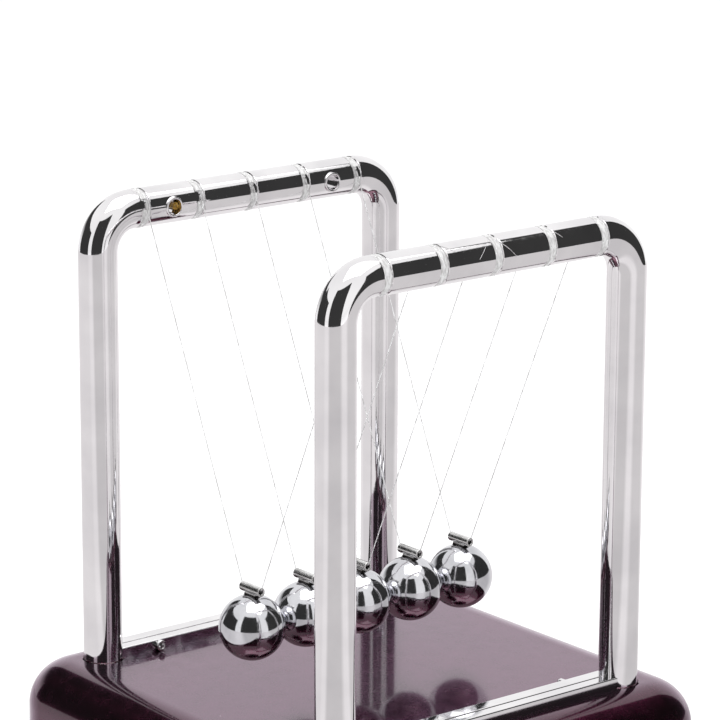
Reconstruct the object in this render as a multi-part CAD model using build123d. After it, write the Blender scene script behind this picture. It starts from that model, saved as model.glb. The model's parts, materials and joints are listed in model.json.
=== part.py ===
from build123d import *
from math import acos, atan2, cos, degrees, hypot, radians, sin
import os

# Newton's cradle. Millimetres, +Z up.
# X runs along the row of balls, -Y is the front frame, +Y the rear frame.
# The origin is on the table, under the middle of the base.

# ---- balls and their pitch
ball_count = 5
ball_dia = 16.8
ball_gap = 0.2              # free gap between neighbouring balls at rest
ball_clearance = 10.1       # base top to the underside of a ball

# ---- frames: round-section rings with a flat bar at the foot
tube_dia = 10.0
frame_spacing = 96.0        # centre to centre of the two frames
hang_height = 117.0         # base top to the axis of the top bar
post_margin = 11.8          # end groove to the axis of the post beside it
bend_radius = 10.0          # centreline radius of the top corners
foot_bar_depth = 7.3
foot_bar_height = 2.8
foot_bar_round = 0.35
ridge_width = 1.0           # low ridge along the middle of the foot bar
ridge_height = 0.25

# ---- grooves round the top bars
groove_width = 2.6
groove_depth = 0.35
groove_slope = 0.2          # run of each sloping groove wall

# ---- rimmed pockets on the inner side of each frame
pocket_rim_dia = 5.2
pocket_bore = 4.0
pocket_rim_stand = 0.3
pocket_depth = 2.2
bar_pocket_rim_dia = 2.7
bar_pocket_bore = 1.7
bar_pocket_stand = 1.4
bar_pocket_depth = 1.5
bar_pocket_x = 30.8         # from the middle of the frame

# ---- suspension line, one per ball
line_dia = 0.28
line_lift = 0.01            # line to groove floor
wrap_pitch = 0.42
wrap_turns = 2.25
wrap_start_gap = 0.35       # between the hanging line and the start of its wrap
glue_arc = 34.0             # degrees round the bar
glue_from = 95.0            # degrees, measured from the ball side over the top
glue_width = 0.8
glue_rise = 0.5
glue_side_gap = 0.12        # between the glue and the nearest turn of line

# ---- hanger on top of each ball
sleeve_dia = 2.4
sleeve_bore = 1.2
sleeve_length = 7.6
sleeve_rise = 1.5           # top of the ball to the sleeve's axis
sleeve_rim = 0.3            # radius of the bore's mouths
sleeve_edge = 0.15
weld_length = 4.4
weld_width = 1.3
bore_lift = 0.02            # line to the roof of the bore

# ---- base
base_overhang_x = 19.2      # post axis to the side of the base
base_overhang_y = 16.4
base_height = 20.0
base_corner = 15.0
base_roll = 11.5            # radius of the rolled top edge
base_wall = 2.2
socket_depth = 10.0
socket_clearance = 0.25
socket_wall = 2.25
socket_floor = 2.0
rebate_width = 1.2          # step round the inside of the lower edge
cover_thickness = 2.0
cover_clearance = 0.15
foot_dia = 10.0
foot_height = 1.5
foot_round = 0.4
foot_inset = 16.0           # foot centre to the sides of the base

# ---- screws
screw_dia = 2.9
screw_fit = 0.02            # radial, screw to its pilot hole
screw_pass = 0.2            # radial, screw to a hole it passes through
frame_screw_length = 9.0
cover_screw_length = 8.0
pan_head_dia = 5.6
pan_head_height = 2.0
pan_head_round = 0.6
sunk_head_dia = 5.4
sunk_head_height = 1.3
pilot_spare = 1.0           # pilot hole beyond the screw's tip
cross_length = 3.0
cross_width = 0.6
cross_depth = 0.8
cover_boss_dia = 7.0
cover_boss_inset = 9.0      # screw to the side of the base
cover_boss_share = 0.22     # screw from the middle, as a share of the base's width

# ---- sizes that follow
pitch = ball_dia + ball_gap
ball_radius = ball_dia / 2
tube_radius = tube_dia / 2
line_radius = line_dia / 2
row_xs = [(i - (ball_count - 1) / 2) * pitch for i in range(ball_count)]
post_x = row_xs[-1] + post_margin
frame_y = frame_spacing / 2
base_length = 2 * (post_x + base_overhang_x)
base_width = 2 * (frame_y + base_overhang_y)
base_top = foot_height + base_height
bar_z = base_top + hang_height
ball_z = base_top + ball_clearance + ball_radius
sleeve_z = ball_z + ball_radius + sleeve_rise
post_end_z = base_top - socket_depth
socket_bottom_z = post_end_z - socket_floor
cover_top_z = foot_height + cover_thickness
groove_radius = tube_radius - groove_depth
wrap_radius = groove_radius + line_lift + line_radius

# A line runs straight from the ball side of the top bar, tangent to its wrap,
# to the rounded mouth of the sleeve. slope is its angle to the vertical.
mouth_y = sleeve_length / 2 - sleeve_rim
mouth_z = sleeve_z + sleeve_bore / 2 + sleeve_rim
mouth_radius = sleeve_rim + bore_lift + line_radius
drop_angle = atan2(mouth_z - bar_z, frame_y - mouth_y)
centre_reach = hypot(mouth_z - bar_z, frame_y - mouth_y)
slope = drop_angle + acos((wrap_radius + mouth_radius) / centre_reach)
hang_y = frame_y - wrap_radius * cos(slope)
hang_z = bar_z + wrap_radius * sin(slope)

post_places = [(sx * post_x, sy * frame_y) for sx in (-1, 1) for sy in (-1, 1)]
cover_screw_places = [
    (sx * (base_length / 2 - cover_boss_inset), sy * cover_boss_share * base_width)
    for sx in (-1, 1)
    for sy in (-1, 1)
]
foot_places = [
    (sx * (base_length / 2 - foot_inset), sy * (base_width / 2 - foot_inset))
    for sx in (-1, 1)
    for sy in (-1, 1)
]


def rod(radius, z_low, z_high):
    """Upright cylinder between two heights."""
    return Pos(0, 0, (z_low + z_high) / 2) * Cylinder(radius, z_high - z_low)


def at_all(places, shape):
    """Copies of a shape at each (x, y)."""
    return [Pos(x, y, 0) * shape for x, y in places]


# ---- base

def rolled_block(length, width, height, corner, roll):
    """Rounded block standing on z = 0 with a rolled top edge."""
    block = extrude(RectangleRounded(length, width, corner), height)
    top_edges = block.faces().sort_by(Axis.Z)[-1].edges()
    return fillet(top_edges, roll)


def base_outer():
    """Outside of the base, filled."""
    block = rolled_block(base_length, base_width, base_height, base_corner, base_roll)
    return Pos(0, 0, foot_height) * block


def base_inner():
    """Inside of the base, filled."""
    block = rolled_block(
        base_length - 2 * base_wall,
        base_width - 2 * base_wall,
        base_height - base_wall,
        base_corner - base_wall,
        base_roll - base_wall,
    )
    return Pos(0, 0, foot_height) * block


def cover_outline(clearance):
    """Outline of the rebate for the cover, or of the cover inside it."""
    inset = base_wall - rebate_width + clearance
    return RectangleRounded(
        base_length - 2 * inset, base_width - 2 * inset, base_corner - inset
    )


def socket_boss():
    """Blind tube under the base's top that holds the foot of a post."""
    radius = tube_radius + socket_clearance + socket_wall
    return rod(radius, socket_bottom_z, base_top - base_wall / 2)


def socket_cut():
    """Socket for a post, with the screw's way through its floor."""
    socket = rod(tube_radius + socket_clearance, post_end_z, base_top + 1)
    way = rod(screw_dia / 2 + screw_pass, socket_bottom_z - 1, post_end_z)
    return socket + way


def cover_boss():
    """Post inside the base that takes a cover screw."""
    return rod(cover_boss_dia / 2, cover_top_z, base_top - base_wall / 2)


def cover_pilot():
    """Pilot hole of a cover screw."""
    top = foot_height + cover_screw_length + pilot_spare
    return rod(screw_dia / 2 + screw_fit, foot_height, top)


def make_base_shell():
    """Moulded base: rolled shell, four post sockets, four cover bosses."""
    outer = base_outer()
    bosses = at_all(post_places, socket_boss()) + at_all(cover_screw_places, cover_boss())
    shell = outer - base_inner() + [outer & boss for boss in bosses]
    shell -= Pos(0, 0, foot_height) * extrude(cover_outline(0), cover_thickness)
    shell -= at_all(post_places, socket_cut())
    return shell - at_all(cover_screw_places, cover_pilot())


def sunk_cut():
    """Countersunk hole through the cover."""
    widen = screw_pass / 2
    cone = Pos(0, 0, foot_height + sunk_head_height / 2) * Cone(
        sunk_head_dia / 2 + widen, screw_dia / 2 + widen, sunk_head_height
    )
    return cone + rod(screw_dia / 2 + screw_pass, foot_height, cover_top_z)


def make_base_cover():
    """Flat cover that closes the base from below."""
    plate = extrude(cover_outline(cover_clearance), cover_thickness)
    return Pos(0, 0, foot_height) * plate - at_all(cover_screw_places, sunk_cut())


def make_foot():
    """Round rubber foot."""
    foot = rod(foot_dia / 2, 0, foot_height)
    return fillet(foot.edges().sort_by(Axis.Z)[0], foot_round)


# ---- screws

def cross_cut(z_low, z_high):
    """Cross recess between two heights."""
    middle = Pos(0, 0, (z_low + z_high) / 2)
    bar = Box(cross_length, cross_width, z_high - z_low)
    return middle * (bar + Rot(0, 0, 90) * bar)


def make_frame_screw():
    """Pan-head screw that pulls a post down into its socket, head down."""
    head_z = socket_bottom_z - pan_head_height
    head = rod(pan_head_dia / 2, head_z, socket_bottom_z)
    head = fillet(head.edges().sort_by(Axis.Z)[0], pan_head_round)
    shank = rod(screw_dia / 2, socket_bottom_z, socket_bottom_z + frame_screw_length)
    return head + shank - cross_cut(head_z, head_z + cross_depth)


def make_cover_screw():
    """Countersunk screw, head flush with the cover."""
    head = Pos(0, 0, foot_height + sunk_head_height / 2) * Cone(
        sunk_head_dia / 2, screw_dia / 2, sunk_head_height
    )
    shank = rod(screw_dia / 2, foot_height, foot_height + cover_screw_length)
    return head + shank - cross_cut(foot_height, foot_height + cross_depth)


# ---- frames

def frame_ring():
    """Posts, top corners and top bar as one bent round bar."""
    path = FilletPolyline(
        (-post_x, 0, post_end_z),
        (-post_x, 0, bar_z),
        (post_x, 0, bar_z),
        (post_x, 0, post_end_z),
        radius=bend_radius,
    )
    section = Plane(origin=path @ 0, z_dir=path % 0) * Circle(tube_radius)
    return sweep(section, path)


def groove_cut():
    """Ring that cuts one groove round the top bar, at x = 0."""
    outer = tube_radius + 1
    floor = groove_width / 2 - groove_slope
    mouth = groove_width / 2 + groove_slope * (outer - tube_radius) / groove_depth
    profile = make_face(
        Polyline(
            (-mouth, outer, 0),
            (-floor, groove_radius, 0),
            (floor, groove_radius, 0),
            (mouth, outer, 0),
            close=True,
        )
    )
    return Pos(0, 0, bar_z) * revolve(profile, Axis.X, 360)


def foot_bar():
    """Flat bar along the foot of a frame, with its low ridge."""
    bar = Box(2 * post_x, foot_bar_depth, foot_bar_height)
    top = bar.faces().sort_by(Axis.Z)[-1]
    bar = fillet(top.edges().filter_by(Axis.X), foot_bar_round)
    ridge = Box(2 * post_x, ridge_width, ridge_height * 2)
    bar += Pos(0, 0, foot_bar_height / 2) * ridge
    return Pos(0, 0, base_top + foot_bar_height / 2) * bar


def side_rod(diameter, y_low, y_high):
    """Cylinder along Y between two distances from the frame's plane."""
    return Pos(0, (y_low + y_high) / 2, 0) * Rot(90, 0, 0) * Cylinder(
        diameter / 2, y_high - y_low
    )


def pockets(frame):
    """Frame with its rimmed pockets, all opening towards -Y."""
    rim_y = -tube_radius - pocket_rim_stand
    for x in (-1.5 * pitch, 1.5 * pitch):
        place = Pos(x, 0, bar_z)
        frame += place * side_rod(pocket_rim_dia, rim_y, 0)
        frame -= place * side_rod(pocket_bore, rim_y - 1, -tube_radius + pocket_depth)
    face_y = -foot_bar_depth / 2
    place = Pos(-bar_pocket_x, 0, base_top + foot_bar_height / 2)
    frame += place * side_rod(bar_pocket_rim_dia, face_y - bar_pocket_stand, 0)
    return frame - place * side_rod(
        bar_pocket_bore, face_y - bar_pocket_stand - 1, face_y + bar_pocket_depth
    )


def make_frame():
    """One moulded frame in the plane y = 0, its pockets towards -Y."""
    frame = frame_ring() + foot_bar()
    frame -= [Pos(x, 0, 0) * groove_cut() for x in row_xs]
    top = socket_bottom_z + frame_screw_length + pilot_spare
    pilot = rod(screw_dia / 2 + screw_fit, post_end_z, top)
    frame -= [Pos(x, 0, 0) * pilot for x in (-post_x, post_x)]
    return pockets(frame)


# ---- balls, hangers and lines

def make_ball():
    """Polished steel ball at its rest height."""
    return Pos(0, 0, ball_z) * Sphere(ball_radius)


def make_hanger():
    """Sleeve along Y on its weld, standing on top of the ball."""
    lift = Pos(0, 0, sleeve_z) * Rot(90, 0, 0)
    sleeve = Cylinder(sleeve_dia / 2, sleeve_length) - Cylinder(sleeve_bore / 2, sleeve_length)
    rims = sleeve.edges().filter_by(GeomType.CIRCLE)
    inner = [e for e in rims if e.radius < (sleeve_bore + sleeve_dia) / 4]
    sleeve = fillet(inner, sleeve_rim)
    outer = [
        e
        for e in sleeve.edges().filter_by(GeomType.CIRCLE)
        if abs(e.radius - sleeve_dia / 2) < sleeve_edge / 10
    ]
    sleeve = fillet(outer, sleeve_edge)
    weld_low = ball_z + ball_radius * 0.9
    weld_box = Box(weld_width, weld_length, sleeve_z - weld_low)
    weld = Pos(0, 0, (sleeve_z + weld_low) / 2) * weld_box - make_ball()
    weld -= lift * Cylinder((sleeve_bore + sleeve_dia) / 4, sleeve_length)
    return lift * sleeve + weld


def mouth_point(side, angle):
    """Point of a line's bend round a mouth of the sleeve, at an angle in degrees."""
    turn = radians(angle)
    y = side * (mouth_y - mouth_radius * cos(turn))
    return (0, y, mouth_z + mouth_radius * sin(turn))


def half_line(side):
    """Straight run from a groove and the bend into the sleeve, on one side."""
    leave = 180 + degrees(slope)
    start = (0, side * hang_y, hang_z)
    at_mouth = mouth_point(side, leave)
    half_way = mouth_point(side, (leave + 270) / 2)
    inside = mouth_point(side, 270)
    return Line(start, at_mouth), ThreePointArc(at_mouth, half_way, inside)


def line_path():
    """Route of one line from the front groove through the sleeve to the rear."""
    front_run, front_bend = half_line(-1)
    rear_run, rear_bend = half_line(1)
    through = Line(front_bend @ 1, rear_bend @ 1)
    pieces = [front_run, front_bend, through, rear_bend, rear_run]
    return Wire([edge for piece in pieces for edge in piece.edges()])


def make_line():
    """One line, straight from each groove to the sleeve."""
    path = line_path()
    section = Plane(origin=path @ 0, z_dir=path % 0) * Circle(line_radius)
    return sweep(section, path)


def make_wrap(side):
    """Turns of line round the front bar at x = 0, laid towards the given side."""
    helix = Helix(pitch=wrap_pitch, height=wrap_pitch * wrap_turns, radius=wrap_radius)
    section = Plane(origin=helix @ 0, z_dir=helix % 0) * Circle(line_radius)
    turns = sweep(section, helix, is_frenet=True)
    start = slope + wrap_start_gap / wrap_radius
    ball_side = (0, cos(start), sin(start))
    seat = Plane(origin=(0, -frame_y, bar_z), x_dir=ball_side, z_dir=(1, 0, 0))
    turns = seat.location * turns
    return turns if side > 0 else mirror(turns, about=Plane.YZ)


def make_glue(side):
    """Bead of glue on the groove floor, beside the turns of the front wrap."""
    near = -side * (line_radius + glue_side_gap)
    middle = near - side * glue_width / 2
    profile = Pos(middle, groove_radius + glue_rise / 2, 0) * Rectangle(glue_width, glue_rise)
    bead = revolve(profile, Axis.X, glue_arc)
    return Pos(0, -frame_y, bar_z) * Rot(glue_from, 0, 0) * bead


def wrap_side(x):
    """Side of a groove its turns lie on: away from the way an end ball swings."""
    return 1 if x <= 0 else -1


def to_rear(shape):
    """Copy of a front piece at the rear frame."""
    return mirror(shape, about=Plane.XZ)


# ---- all the nodes

def base_nodes():
    """Base, its cover, feet and screws."""
    nodes = {"base_shell": make_base_shell(), "base_cover": make_base_cover()}
    for number, foot in enumerate(at_all(foot_places, make_foot()), 1):
        nodes[f"foot_{number}"] = foot
    nodes["frame_screws"] = Compound(children=at_all(post_places, make_frame_screw()))
    nodes["cover_screws"] = Compound(children=at_all(cover_screw_places, make_cover_screw()))
    return nodes


def frame_nodes():
    """Both frames with the wrapped ends of the lines and their glue."""
    frame = make_frame()
    nodes = {
        "frame_front": Pos(0, -frame_y, 0) * Rot(0, 0, 180) * frame,
        "frame_rear": Pos(0, frame_y, 0) * frame,
    }
    wraps = {side: make_wrap(side) for side in (-1, 1)}
    beads = []
    for number, x in enumerate(row_xs, 1):
        side = wrap_side(x)
        wrap = Pos(x, 0, 0) * wraps[side]
        nodes[f"wrap_front_{number}"] = wrap
        nodes[f"wrap_rear_{number}"] = to_rear(wrap)
        beads.append(Pos(x, 0, 0) * make_glue(side))
    nodes["glue_front"] = Compound(children=beads)
    nodes["glue_rear"] = Compound(children=[to_rear(bead) for bead in beads])
    return nodes


def ball_nodes():
    """Balls with their hangers and lines."""
    ball, hanger, line = make_ball(), make_hanger(), make_line()
    nodes = {}
    for number, x in enumerate(row_xs, 1):
        place = Pos(x, 0, 0)
        nodes[f"ball_{number}"] = place * ball
        nodes[f"hanger_{number}"] = place * hanger
        nodes[f"line_{number}"] = place * line
    return nodes


os.makedirs("parts", exist_ok=True)
for node, shape in (base_nodes() | frame_nodes() | ball_nodes()).items():
    export_step(shape, f"parts/{node}.step")
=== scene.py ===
"""A Newton's cradle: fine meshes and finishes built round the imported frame.

Sizes are in metres. X runs along the row of balls, -Y is the front frame and +Z is up.
Each sub-assembly is a class that builds its meshes with bmesh and dresses them.
"""

import json
import logging
import math
from dataclasses import dataclass
from enum import Enum
from typing import Sequence

import bmesh
import bpy
from mathutils import Matrix, Vector, noise


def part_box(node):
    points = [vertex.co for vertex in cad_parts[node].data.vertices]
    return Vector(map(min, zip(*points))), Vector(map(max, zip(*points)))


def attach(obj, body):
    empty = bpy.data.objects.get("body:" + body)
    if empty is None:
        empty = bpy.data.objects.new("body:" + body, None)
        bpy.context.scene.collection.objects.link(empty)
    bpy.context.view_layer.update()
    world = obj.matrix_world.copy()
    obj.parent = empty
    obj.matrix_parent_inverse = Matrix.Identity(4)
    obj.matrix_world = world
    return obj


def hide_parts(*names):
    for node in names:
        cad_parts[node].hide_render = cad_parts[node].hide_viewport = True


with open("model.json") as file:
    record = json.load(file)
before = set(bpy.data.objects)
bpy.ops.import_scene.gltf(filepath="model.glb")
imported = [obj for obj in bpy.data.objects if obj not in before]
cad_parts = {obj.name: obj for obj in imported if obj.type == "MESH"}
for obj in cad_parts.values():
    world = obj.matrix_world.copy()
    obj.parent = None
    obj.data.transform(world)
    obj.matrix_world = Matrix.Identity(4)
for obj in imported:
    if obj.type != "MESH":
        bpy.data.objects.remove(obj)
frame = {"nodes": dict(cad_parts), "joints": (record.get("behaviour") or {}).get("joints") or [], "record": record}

MM = 0.001
STAND = "stand"
BALL_NUMBERS = range(1, 6)
LOG = logging.getLogger("cradle")


class End(Enum):
    """Which frame a piece belongs to: the sign of its Y."""

    FRONT = -1
    REAR = 1

    @property
    def word(self) -> str:
        """The end's name as it stands in node names."""
        return self.name.lower()


# ---- materials


class Nodes:
    """A material's node tree, with short calls to add and join nodes."""

    def __init__(self, name: str) -> None:
        """Starts an empty material with a Principled shader.

        Args:
            name: The material's name.
        """
        self.material = bpy.data.materials.new(name)
        self.material.use_nodes = True
        self.tree = self.material.node_tree
        self.shader = self.tree.nodes["Principled BSDF"]

    def add(self, kind: str, **settings: object) -> bpy.types.Node:
        """Adds a node.

        Args:
            kind: The node's type, without the "ShaderNode" in front.
            settings: Properties, or input values by name with _ for a space.

        Returns:
            The new node.
        """
        node = self.tree.nodes.new("ShaderNode" + kind)
        for key, value in settings.items():
            if hasattr(node, key):
                setattr(node, key, value)
            else:
                node.inputs[key.replace("_", " ")].default_value = value
        return node

    def join(self, source: bpy.types.NodeSocket, target: bpy.types.NodeSocket) -> None:
        """Links an output to an input."""
        self.tree.links.new(source, target)

    def set(self, **values: object) -> None:
        """Sets the shader's own sockets, by name with _ for a space."""
        for key, value in values.items():
            self.shader.inputs[key.replace("_", " ")].default_value = value

    def place(self, stretch: Sequence[float] = (1, 1, 1)) -> bpy.types.NodeSocket:
        """Object coordinates through a Mapping node.

        Args:
            stretch: Scale along each axis.

        Returns:
            The mapped vector.
        """
        coordinates = self.add("TexCoord")
        mapping = self.add("Mapping")
        mapping.inputs["Scale"].default_value = stretch
        self.join(coordinates.outputs["Object"], mapping.inputs["Vector"])
        return mapping.outputs["Vector"]

    def noise(self, scale: float, detail: float = 2.0,
              stretch: Sequence[float] = (1, 1, 1)) -> bpy.types.NodeSocket:
        """A noise pattern on Object coordinates.

        Args:
            scale: Features per metre.
            detail: Octaves.
            stretch: Scale along each axis.

        Returns:
            The pattern's value.
        """
        texture = self.add("TexNoise", Scale=scale, Detail=detail)
        self.join(self.place(stretch), texture.inputs["Vector"])
        return texture.outputs["Fac"]

    def ramp(self, value: bpy.types.NodeSocket,
             stops: Sequence[tuple[float, Sequence[float]]]) -> bpy.types.NodeSocket:
        """Maps a value to colours.

        Args:
            value: The value to map.
            stops: Places and colours.

        Returns:
            The colour.
        """
        ramp = self.add("ValToRGB")
        elements = ramp.color_ramp.elements
        while len(elements) < len(stops):
            elements.new(0.5)
        for element, (at, colour) in zip(elements, stops):
            element.position = at
            element.color = (*colour, 1)
        self.join(value, ramp.inputs["Fac"])
        return ramp.outputs["Color"]

    def spread(self, value: bpy.types.NodeSocket, low: float, high: float,
               start: float = 0.3, end: float = 0.7) -> bpy.types.NodeSocket:
        """Maps start..end of a value to low..high.

        Args:
            value: The value to map.
            low: Result at start.
            high: Result at end.
            start: Value that gives low.
            end: Value that gives high.

        Returns:
            The mapped value.
        """
        node = self.add("MapRange")
        for key, number in (("From Min", start), ("From Max", end),
                            ("To Min", low), ("To Max", high)):
            node.inputs[key].default_value = number
        self.join(value, node.inputs["Value"])
        return node.outputs["Result"]

    def mix(self, share: bpy.types.NodeSocket, first: object, second: object) -> bpy.types.NodeSocket:
        """Mixes two colours, each a tuple or a socket.

        Args:
            share: How much of the second colour shows.
            first: Colour at 0.
            second: Colour at 1.

        Returns:
            The mixed colour.
        """
        node = self.add("Mix", data_type="RGBA")
        for socket, colour in ((node.inputs[6], first), (node.inputs[7], second)):
            if isinstance(colour, bpy.types.NodeSocket):
                self.join(colour, socket)
            else:
                socket.default_value = (*colour, 1)
        self.join(share, node.inputs[0])
        return node.outputs[2]

    def bump(self, height: bpy.types.NodeSocket, depth: float, strength: float = 1.0) -> None:
        """Puts a height pattern on the shader's normal, after any that is there.

        Args:
            height: The pattern.
            depth: Its height in metres.
            strength: Share of the effect.
        """
        node = self.add("Bump", Strength=strength, Distance=depth)
        self.join(height, node.inputs["Height"])
        target = self.shader.inputs["Normal"]
        if target.links:
            self.join(target.links[0].from_socket, node.inputs["Normal"])
        self.join(node.outputs["Normal"], target)

    def drive(self, socket: str, source: bpy.types.NodeSocket) -> None:
        """Links a source to a named socket of the shader."""
        self.join(source, self.shader.inputs[socket])


@dataclass(frozen=True)
class BrightPlating:
    """Chrome plating on moulded plastic: mirror-like, very slightly wavy, a few specks."""

    tint: tuple[float, float, float] = (0.90, 0.885, 0.895)
    worn: tuple[float, float, float] = (0.80, 0.785, 0.80)
    wave_scale: float = 110.0
    wave_depth: float = 0.0045 * MM
    ripple_scale: float = 480.0
    ripple_depth: float = 0.007 * MM

    def material(self, name: str) -> bpy.types.Material:
        """Builds the material.

        Args:
            name: Its name.

        Returns:
            The material.
        """
        nodes = Nodes(name)
        nodes.set(Metallic=1.0)
        cloud = nodes.noise(60.0, 3.0)
        nodes.drive("Base Color", nodes.ramp(cloud, [(0.35, self.worn), (0.6, self.tint)]))
        nodes.drive("Roughness", nodes.spread(nodes.noise(420.0, 4.0), 0.025, 0.075))
        nodes.bump(nodes.noise(self.wave_scale, 1.0), self.wave_depth)
        nodes.bump(nodes.noise(self.ripple_scale, 2.0), self.ripple_depth, 0.6)
        return nodes.material


@dataclass(frozen=True)
class PolishedSteel:
    """Ball steel: a hard mirror with faint handling marks."""

    tint: tuple[float, float, float] = (0.71, 0.71, 0.74)
    haze: tuple[float, float, float] = (0.57, 0.57, 0.60)
    grain_depth: float = 0.002 * MM
    scratch_depth: float = 0.004 * MM

    def material(self, name: str) -> bpy.types.Material:
        """Builds the material.

        Args:
            name: Its name.

        Returns:
            The material.
        """
        nodes = Nodes(name)
        nodes.set(Metallic=1.0)
        nodes.drive("Base Color", nodes.ramp(nodes.noise(150.0, 4.0), [(0.3, self.haze), (0.62, self.tint)]))
        nodes.drive("Roughness", nodes.spread(nodes.noise(900.0, 5.0), 0.04, 0.13))
        nodes.bump(nodes.noise(1500.0, 2.0), self.grain_depth)
        nodes.bump(nodes.noise(500.0, 2.0, (1, 6, 1)), self.scratch_depth, 0.5)
        return nodes.material


@dataclass(frozen=True)
class DrawnTube:
    """Small cut steel tube: dull sheen, drawn lines along it, darker towards the bottom at the weld."""

    light: tuple[float, float, float] = (0.78, 0.775, 0.77)
    dark: tuple[float, float, float] = (0.44, 0.435, 0.43)
    lower_dark: tuple[float, float, float] = (0.055, 0.05, 0.048)
    dark_depth: float = 1.35 * MM
    light_depth: float = 1.0 * MM
    line_depth: float = 0.006 * MM

    def material(self, name: str) -> bpy.types.Material:
        """Builds the material.

        Args:
            name: Its name.

        Returns:
            The material.
        """
        nodes = Nodes(name)
        nodes.set(Metallic=1.0)
        patches = nodes.ramp(nodes.noise(700.0, 4.0, (1, 0.3, 1)), [(0.36, self.dark), (0.6, self.light)])
        height = nodes.add("SeparateXYZ")
        nodes.join(nodes.place(), height.inputs[0])
        axis = HungBall.sleeve_height()
        # Darker towards the bottom: the colour turns near black from 1.0 mm to 1.35 mm below the sleeve's axis,
        # over its underside and the weld.
        low = nodes.spread(height.outputs["Z"], 1.0, 0.0, axis - self.dark_depth, axis - self.light_depth)
        nodes.drive("Base Color", nodes.mix(low, patches, self.lower_dark))
        nodes.drive("Roughness", nodes.spread(nodes.noise(1600.0, 3.0), 0.14, 0.34))
        nodes.bump(nodes.noise(2600.0, 2.0, (1, 0.08, 1)), self.line_depth)
        return nodes.material


@dataclass(frozen=True)
class FlakeLacquer:
    """Dark wine lacquer with fine metal flakes under a hard clear coat, a little dusty."""

    deep: tuple[float, float, float] = (0.038, 0.0022, 0.014)
    warm: tuple[float, float, float] = (0.060, 0.0040, 0.023)
    flake: tuple[float, float, float] = (0.26, 0.10, 0.15)
    grazing: tuple[float, float, float, float] = (1.0, 0.80, 1.0, 1.0)
    flake_scale: float = 6500.0
    flake_depth: float = 0.004 * MM
    dust: tuple[float, float, float] = (0.70, 0.66, 0.68)
    dust_scale: float = 330.0

    def flakes(self, nodes: Nodes, body: bpy.types.NodeSocket) -> bpy.types.NodeSocket:
        """Lays fine metal flakes in the body colour.

        Args:
            nodes: The material's nodes.
            body: The body colour.

        Returns:
            The body colour with flakes.
        """
        cells = nodes.add("TexVoronoi", Scale=self.flake_scale)
        nodes.join(nodes.place(), cells.inputs["Vector"])
        pick = nodes.add("SeparateColor")
        nodes.join(cells.outputs["Color"], pick.inputs[0])
        nodes.bump(pick.outputs[2], self.flake_depth, 0.35)
        share = nodes.spread(pick.outputs[0], 0.0, 0.35, 0.78, 1.0)
        return nodes.mix(share, body, self.flake)

    def dusted(self, nodes: Nodes, body: bpy.types.NodeSocket) -> bpy.types.NodeSocket:
        """Sprinkles a few specks of dust on a colour.

        Args:
            nodes: The material's nodes.
            body: The colour below.

        Returns:
            The dusted colour.
        """
        cells = nodes.add("TexVoronoi", Scale=self.dust_scale, Randomness=1.0)
        nodes.join(nodes.place(), cells.inputs["Vector"])
        near = nodes.spread(cells.outputs["Distance"], 1.0, 0.0, 0.035, 0.06)
        pick = nodes.add("SeparateColor")
        nodes.join(cells.outputs["Color"], pick.inputs[0])
        chosen = nodes.spread(pick.outputs[1], 0.0, 0.9, 0.965, 0.975)
        both = nodes.add("Math", operation="MULTIPLY")
        nodes.join(near, both.inputs[0])
        nodes.join(chosen, both.inputs[1])
        return nodes.mix(both.outputs[0], body, self.dust)

    def material(self, name: str) -> bpy.types.Material:
        """Builds the material.

        Args:
            name: Its name.

        Returns:
            The material.
        """
        nodes = Nodes(name)
        nodes.set(Metallic=1.0, Specular_Tint=self.grazing, Coat_Weight=1.0,
                  Coat_Roughness=0.08, Coat_IOR=1.58)
        nodes.drive("Roughness", nodes.spread(nodes.noise(240.0, 3.0), 0.20, 0.30))
        body = nodes.ramp(nodes.noise(35.0, 3.0), [(0.3, self.deep), (0.7, self.warm)])
        nodes.drive("Base Color", self.dusted(nodes, self.flakes(nodes, body)))
        return nodes.material


@dataclass(frozen=True)
class MouldedPlastic:
    """Grained moulded plastic or rubber."""

    light: tuple[float, float, float]
    dark: tuple[float, float, float]
    roughness: float = 0.55
    grain_scale: float = 3000.0
    grain_depth: float = 0.02 * MM

    def material(self, name: str) -> bpy.types.Material:
        """Builds the material.

        Args:
            name: Its name.

        Returns:
            The material.
        """
        nodes = Nodes(name)
        nodes.drive("Base Color", nodes.ramp(nodes.noise(90.0, 4.0), [(0.3, self.dark), (0.7, self.light)]))
        rough = nodes.spread(nodes.noise(700.0, 2.0), self.roughness - 0.1, self.roughness + 0.1)
        nodes.drive("Roughness", rough)
        nodes.bump(nodes.noise(self.grain_scale, 2.0), self.grain_depth)
        return nodes.material


@dataclass(frozen=True)
class ZincPlate:
    """Zinc-plated screw steel."""

    light: tuple[float, float, float] = (0.66, 0.67, 0.70)
    dark: tuple[float, float, float] = (0.42, 0.43, 0.47)

    def material(self, name: str) -> bpy.types.Material:
        """Builds the material.

        Args:
            name: Its name.

        Returns:
            The material.
        """
        nodes = Nodes(name)
        nodes.set(Metallic=1.0)
        nodes.drive("Base Color", nodes.ramp(nodes.noise(600.0, 3.0), [(0.3, self.dark), (0.7, self.light)]))
        nodes.drive("Roughness", nodes.spread(nodes.noise(1200.0, 3.0), 0.22, 0.42))
        return nodes.material


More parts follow.
